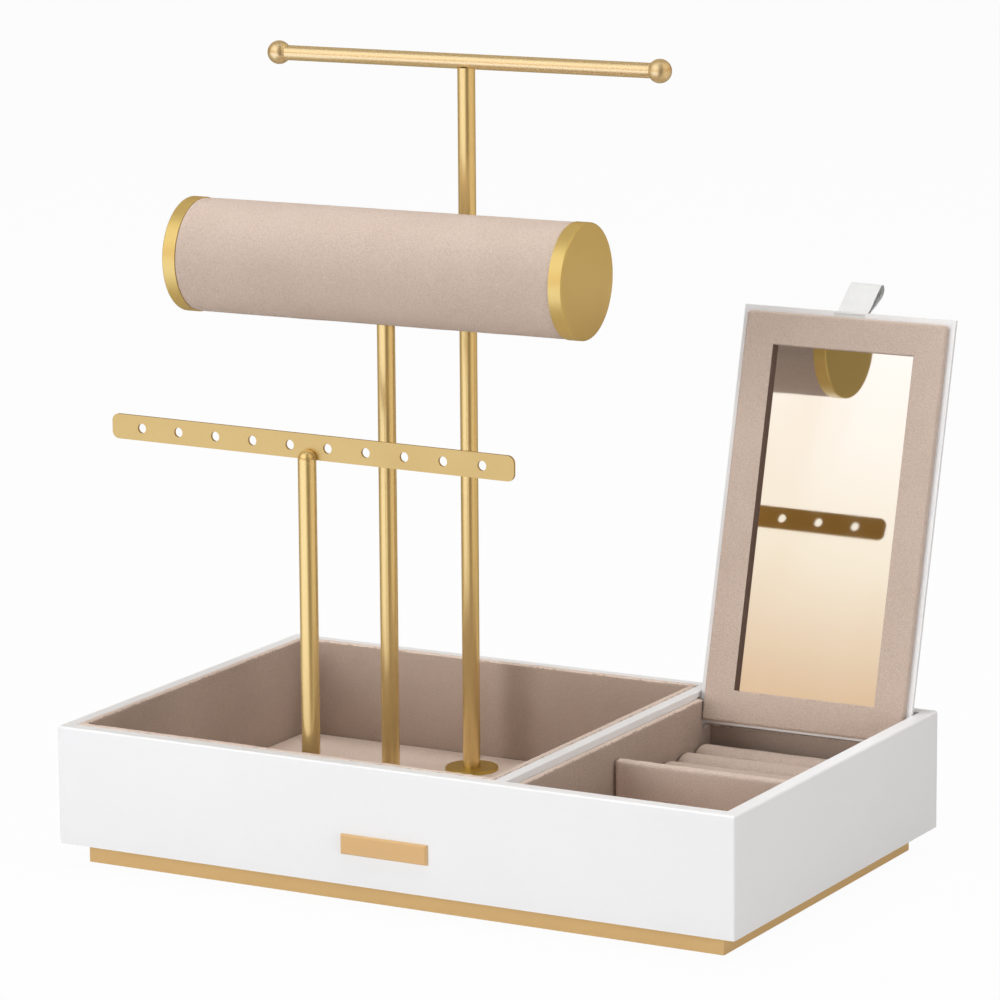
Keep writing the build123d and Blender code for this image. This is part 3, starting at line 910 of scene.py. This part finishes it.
class STAND_OT_ribbon(bpy.types.Operator):
    """Loops the satin ribbon that opens the lid"""

    bl_idname = "stand.ribbon"
    bl_label = "Ribbon pull"

    def execute(self, context):
        sizes = context.scene.stand_cloth
        low, high = shut_box("ribbon_pull")
        panel_low, panel_high = shut_box("lid_panel")
        route = self.route(low, high, panel_low, panel_high)
        piece = self.model(route, (low.x + high.x) / 2, sizes)
        piece.data.transform(lid_turn())
        smooth(piece, 60)
        satin = material("ribbon_satin", ribbon_material, context.scene.stand_finish.ribbon)
        finish_piece(piece, satin, "lid", "ribbon", "ribbon_pull")
        return {"FINISHED"}

    def route(self, low, high, panel_low, panel_high):
        """The ribbon's line, seen from the side of the shut lid: out, round the tip and back."""
        root = Vector((panel_low.y, low.z))
        end = Vector((high.y, low.z))
        bend = Vector((panel_low.y + 0.4 * MM, panel_high.z + 1.0 * MM))
        way = Vector((low.y, high.z)) - bend
        out = way.normalized()
        up = Vector((out.y, -out.x))
        up = up if up.y > 0 else -up
        under = [(end, END_UNDER), *((root, step) for step in TUCK_UNDER), (bend, BEND_UNDER)]
        over = [(bend, BEND_OVER), *((root, step) for step in TUCK_OVER), (end, END_OVER)]
        loop = [bend + way * share + up * (height * MM) for share, height in LOOP]
        return [*self.steps(under), *loop, *self.steps(over)]

    def steps(self, pairs):
        """The points that lie a step away from others."""
        return [start + Vector(step) * MM for start, step in pairs]

    def model(self, route, middle_x, sizes):
        """A band along the route, as wide as the ribbon."""
        line = bpy.data.curves.new("ribbon_line", "CURVE")
        line.dimensions = "2D"
        line.fill_mode = "NONE"
        line.resolution_u = 8
        line.extrude = sizes.ribbon_width / 2
        spline = line.splines.new("NURBS")
        spline.points.add(len(route) - 1)
        for point, place in zip(spline.points, route):
            point.co = (place.x, place.y, 0, 1)
        spline.order_u = 4
        spline.use_endpoint_u = True
        piece = bpy.data.objects.new("ribbon_pull_satin", line)
        bpy.context.collection.objects.link(piece)
        choose(piece)
        bpy.ops.object.convert(target="MESH")
        piece = bpy.context.object
        side_view = Matrix(((0, 0, 1, middle_x), (1, 0, 0, 0), (0, 1, 0, 0), (0, 0, 0, 1)))
        piece.data.transform(side_view)
        with edit_mode(piece):
            bpy.ops.mesh.select_all(action="SELECT")
            bpy.ops.mesh.remove_doubles(threshold=CLOSE)
        add_cuts(piece, 0, 5 * MM, 7)
        apply_modifier(piece, "SOLIDIFY", thickness=sizes.ribbon_thickness, offset=0)
        return settle(piece, "ribbon_pull_satin")


# The lamps: where each one stands and how wide it is, in metres
LAMPS = {
    "key": ((-0.95, -2.2, 0.5), 1.3),
    "top": ((0.0, 0.1, 1.9), 1.5),
    "fill": ((1.9, -0.6, 0.32), 0.8),
}
LAMP_AIM = Vector((0, 0, 0.1))
FLOOR_DROP = 0.2 * MM
SENSOR_WIDTH = 36

# The painted reflection that shiny surfaces see: a colour by the turn from the front towards the right, in
# degrees
AROUND = [
    (-90, (0.30, 0.25, 0.17)),
    (-74, (0.55, 0.50, 0.40)),
    (-56, (1.16, 1.23, 1.46)),
    (3, (1.20, 1.28, 1.55)),
    (17, (0.46, 0.40, 0.30)),
    (27, (0.06, 0.03, 0.0)),
    (48, (0.06, 0.03, 0.0)),
    (62, (0.55, 0.47, 0.35)),
    (78, (0.82, 0.73, 0.60)),
    (115, (0.82, 0.73, 0.60)),
    (138, (0.62, 0.53, 0.40)),
    (156, (0.56, 0.47, 0.34)),
    (174, (0.30, 0.24, 0.15)),
    (230, (0.34, 0.28, 0.20)),
    (270, (0.30, 0.25, 0.17)),
]

# The same by the height above the horizon, in degrees
UPWARD = [
    (0, (0.61, 0.40, 0.21)),
    (12.4, (0.69, 0.47, 0.26)),
    (14, (0.87, 0.73, 0.50)),
    (15.5, (0.95, 0.84, 0.65)),
    (18.5, (0.99, 0.92, 0.77)),
    (30, (1.0, 0.96, 0.83)),
    (48, (1.0, 0.96, 0.83)),
    (64, (0.55, 0.50, 0.40)),
    (90, (0.5, 0.46, 0.37)),
]


class STAND_OT_stage(bpy.types.Operator):
    """Sets up the floor, the lamps, the surroundings and the camera"""

    bl_idname = "stand.stage"
    bl_label = "Stage"

    def execute(self, context):
        values = context.scene.stand_stage
        context.scene.view_settings.view_transform = "Standard"
        self.floor(values)
        self.world(context.scene, values)
        for name, (place, size) in LAMPS.items():
            self.lamp(f"{name}_lamp", place, size, getattr(values, name))
        self.camera(context.scene, values)
        return {"FINISHED"}

    def surroundings(self, recipe, where):
        """A painted reflection that shiny surfaces see round the stand: a wide soft window, a dark gap and a
        paler side.
        """
        round_about = recipe.node("ShaderNodeTexGradient", {"gradient_type": "RADIAL"}, {"Vector": where})
        stops = [((turn + 90) / 360, (*colour, 1)) for turn, colour in AROUND]
        return recipe.node("ShaderNodeValToRGB", {"stops": stops}, {"Fac": round_about})

    def rays(self, recipe):
        """Whether a ray comes from the camera, or from a shiny or a clear surface."""
        kinds = ("Is Camera Ray", "Is Glossy Ray", "Is Transmission Ray")
        seen, shiny, clear = (recipe.node("ShaderNodeLightPath", output=kind) for kind in kinds)
        return seen, shiny + clear

    def floor(self, values):
        """A white paper floor that keeps a soft shadow, and shows shiny surfaces a painted reflection: dark
        near the stand, the surround further out.
        """
        bpy.ops.object.select_all(action="DESELECT")
        bpy.ops.mesh.primitive_plane_add(size=40, location=(0, 0, -FLOOR_DROP))
        paper = settle(bpy.context.object, "floor")
        recipe = new_recipe("floor_paper")
        where = recipe.place()
        reach = recipe.node("ShaderNodeVectorMath", {"operation": "LENGTH"}, {0: where}, "Value")
        # Painted reflection: shiny surfaces see a dark brown patch near the stand and the banded surround
        # further out
        far = recipe.between(reach, 0, 1, 0.2, 0.55)
        around = recipe.blend(far, (0.42, 0.36, 0.26), self.surroundings(recipe, where))
        seen, shiny = self.rays(recipe)
        matt = recipe.node("ShaderNodeBsdfDiffuse", {}, {"Color": (0.62, 0.62, 0.62, 1)})
        colour = recipe.blend(seen, around, (1, 1, 1))
        glow = recipe.node("ShaderNodeEmission", {}, {"Color": colour, "Strength": 1.0})
        mixed = recipe.node("ShaderNodeMixShader", {}, {0: values.paper * seen + shiny, 1: matt, 2: glow})
        recipe.node("ShaderNodeOutputMaterial", {}, {"Surface": mixed})
        paper.data.materials.append(recipe.owner)

    def world(self, scene, values):
        """Even light from all round, with white behind the object, and a painted reflection that only shiny
        surfaces see: the surround, darker overhead, with faint cream folds.
        """
        scene.world = bpy.data.worlds.new("studio")
        recipe = Recipe(scene.world)
        where = recipe.node("ShaderNodeTexCoord", output="Generated")
        height = recipe.node("ShaderNodeSeparateXYZ", {}, {0: where}, "Z")
        stops = [(math.sin(math.radians(rise)), (*colour, 1)) for rise, colour in UPWARD]
        upward = recipe.node("ShaderNodeValToRGB", {"stops": stops}, {"Fac": height})
        settings = {"data_type": "RGBA", "blend_type": "MULTIPLY"}
        around = self.surroundings(recipe, where)
        around = recipe.node("ShaderNodeMix", settings, {0: 1.0, 6: around, 7: upward}, 2)
        # Faint cream folds, painted into the reflection only
        squeezed = {"Vector": where, "Scale": (1, 1, 0.03)}
        across = recipe.node("ShaderNodeMapping", {"vector_type": "POINT"}, squeezed)
        reflected_fold = recipe.between(recipe.grain(across, 70, 1), 0.0, 0.8, 0.46, 0.7)
        around = recipe.node("ShaderNodeMix", settings, {0: reflected_fold, 6: around, 7: (0.93, 0.87, 0.78, 1)}, 2)
        seen, shiny = self.rays(recipe)
        even = recipe.node("ShaderNodeBackground", {}, {"Color": (1, 1, 1, 1), "Strength": values.ambient})
        colour = recipe.blend(seen, around, (1, 1, 1))
        white = recipe.node("ShaderNodeBackground", {}, {"Color": colour, "Strength": 1.0})
        mixed = recipe.node("ShaderNodeMixShader", {}, {0: seen + shiny, 1: even, 2: white})
        recipe.node("ShaderNodeOutputWorld", {}, {"Surface": mixed})

    def lamp(self, name, place, size, power):
        """A square soft lamp that faces the middle of the box."""
        bpy.ops.object.select_all(action="DESELECT")
        aim = (LAMP_AIM - Vector(place)).to_track_quat("-Z", "Y").to_euler()
        bpy.ops.object.light_add(type="AREA", location=place, rotation=aim)
        lamp = bpy.context.object
        lamp.name = name
        lamp.data.shape = "SQUARE"
        lamp.data.size = size
        lamp.data.energy = power
        lamp.visible_glossy = False

    def camera(self, scene, values):
        """The camera at the photograph's place and angle."""
        back = Vector((
            math.sin(values.turn) * math.cos(values.rise),
            -math.cos(values.turn) * math.cos(values.rise),
            math.sin(values.rise),
        ))
        right = (-back).cross(Vector((0, 0, 1))).normalized()
        up = right.cross(-back)
        lean, level = math.sin(values.roll), math.cos(values.roll)
        across, upward = level * right + lean * up, level * up - lean * right
        turn = Matrix((across, upward, back)).transposed().to_4x4()
        bpy.ops.object.camera_add()
        camera = bpy.context.object
        camera.matrix_world = Matrix.Translation(Vector(values.place)) @ turn
        camera.data.lens = values.lens
        camera.data.sensor_width = SENSOR_WIDTH
        scene.camera = camera


class STAND_PT_panel(bpy.types.Panel):
    """Lists what the stand is dressed with"""

    bl_idname = "STAND_PT_panel"
    bl_label = "Jewellery stand"
    bl_space_type = "VIEW_3D"
    bl_region_type = "UI"
    bl_category = "Stand"

    def draw(self, context):
        for operator in OPERATORS:
            self.layout.operator(operator.bl_idname)
        for group in (context.scene.stand_finish, context.scene.stand_cloth, context.scene.stand_stage):
            box = self.layout.box()
            for key in group.__annotations__:
                box.prop(group, key)


GROUPS = {"stand_finish": StandFinish, "stand_cloth": StandCloth, "stand_stage": StandStage}
OPERATORS = (
    STAND_OT_lacquer,
    STAND_OT_base,
    STAND_OT_metal,
    STAND_OT_linings,
    STAND_OT_partition,
    STAND_OT_pads,
    STAND_OT_ring_rolls,
    STAND_OT_bracelet_cover,
    STAND_OT_lid_frame,
    STAND_OT_ribbon,
    STAND_OT_stage,
)


def register():
    for group in GROUPS.values():
        bpy.utils.register_class(group)
    for operator in OPERATORS:
        bpy.utils.register_class(operator)
    bpy.utils.register_class(STAND_PT_panel)
    for name, group in GROUPS.items():
        setattr(bpy.types.Scene, name, bpy.props.PointerProperty(type=group))


def unregister():
    for name in GROUPS:
        delattr(bpy.types.Scene, name)
    bpy.utils.unregister_class(STAND_PT_panel)
    for operator in reversed(OPERATORS):
        bpy.utils.unregister_class(operator)
    for group in GROUPS.values():
        bpy.utils.unregister_class(group)


def main():
    register()
    bpy.ops.stand.lacquer()
    bpy.ops.stand.base()
    bpy.ops.stand.metal()
    bpy.ops.stand.linings()
    bpy.ops.stand.partition()
    bpy.ops.stand.pads()
    bpy.ops.stand.ring_rolls()
    bpy.ops.stand.bracelet_cover()
    bpy.ops.stand.lid_frame()
    bpy.ops.stand.ribbon()
    bpy.ops.stand.stage()


if __name__ == "__main__":
    main()
